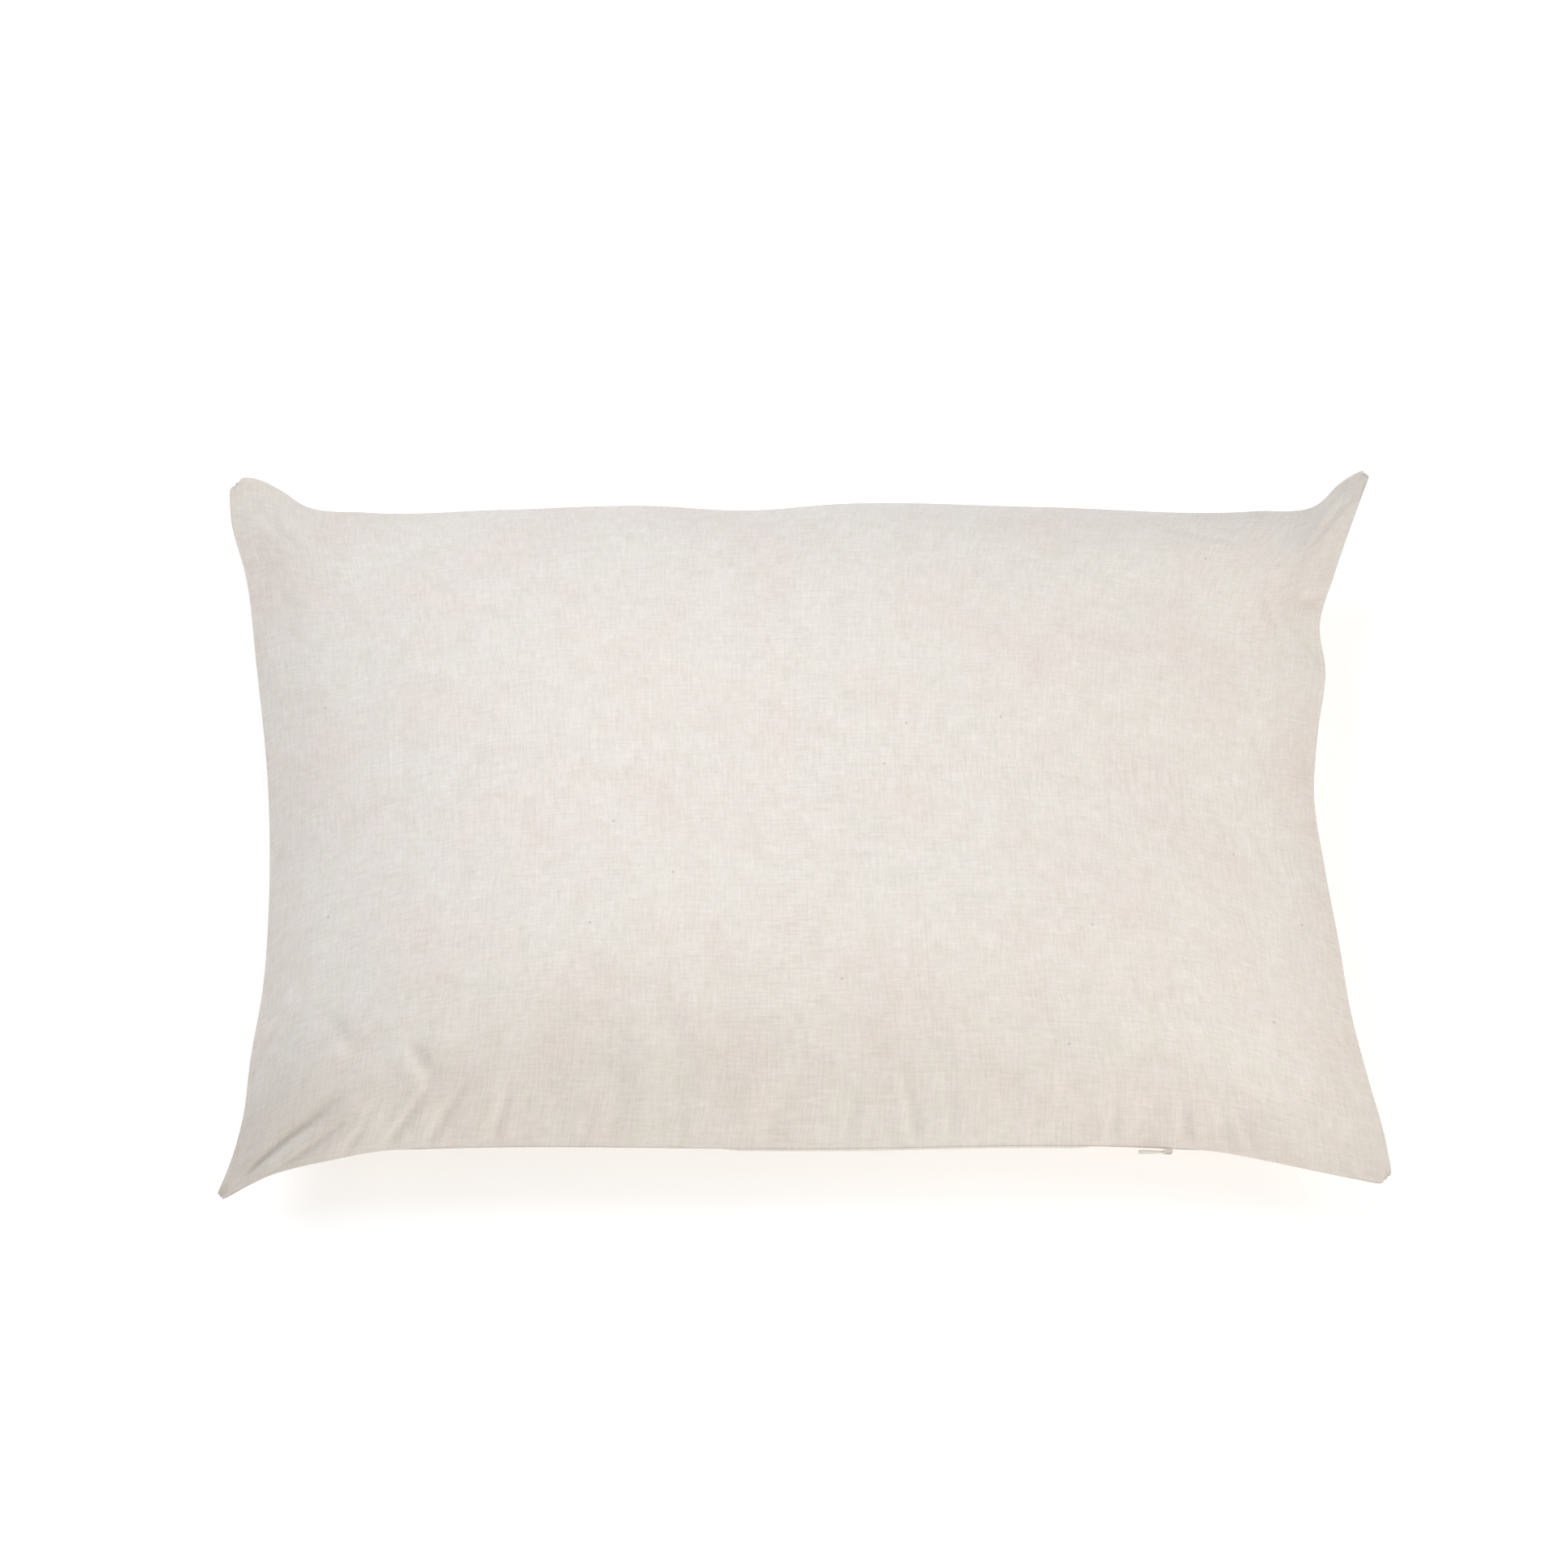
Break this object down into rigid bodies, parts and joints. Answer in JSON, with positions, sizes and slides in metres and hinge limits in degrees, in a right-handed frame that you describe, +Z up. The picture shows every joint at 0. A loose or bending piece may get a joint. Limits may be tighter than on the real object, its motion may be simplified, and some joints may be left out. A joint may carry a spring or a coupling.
{
  "type": "bed pillow",
  "caption": "Rectangular feather-filled bed pillow in a plain natural linen cover with pointed ears and a concealed zip in one long seam.",
  "frame": {"origin": "on the resting face, under the middle of the pillow", "axes": "+X along the long seams, towards the end where the zip closes; -Y towards the zip; +Z up through the crown"},
  "size_m": [0.752, 0.504, 0.152],
  "materials": {
    "linen": "matte",
    "thread": "satin",
    "label_ribbon": "satin",
    "zip_tape": "matte",
    "nylon_coil": "satin",
    "zip_metal": "satin",
    "ticking": "matte",
    "feather_down": "matte"
  },
  "bodies": {
    "pillow": {"cover_top_panel": "linen", "cover_bottom_panel": "linen", "cover_seam_thread": "thread", "cover_care_label": "label_ribbon", "zip_tape_upper": "zip_tape", "zip_tape_lower": "zip_tape", "zip_coil_upper": "nylon_coil", "zip_coil_lower": "nylon_coil", "zip_top_stop_upper": "zip_metal", "zip_top_stop_lower": "zip_metal", "zip_end_stop": "zip_metal", "insert_case_top": "ticking", "insert_case_bottom": "ticking", "insert_piping": "ticking", "insert_closing_thread": "thread", "insert_label": "label_ribbon", "fill": "feather_down"},
    "slider": {"zip_slider": "zip_metal"},
    "pull": {"zip_pull": "zip_metal"}
  },
  "joints": [
    {"name": "zip_slide", "type": "slide", "parent": "pillow", "child": "slider", "axis": [-1, 0, 0], "range_m": [0, 0.47]},
    {"name": "pull_swing", "type": "hinge", "parent": "slider", "child": "pull", "pos_m": [0.2355, -0.2302, 0.054], "axis": [0, 0, 1], "range_deg": [0, 180]}
  ]
}
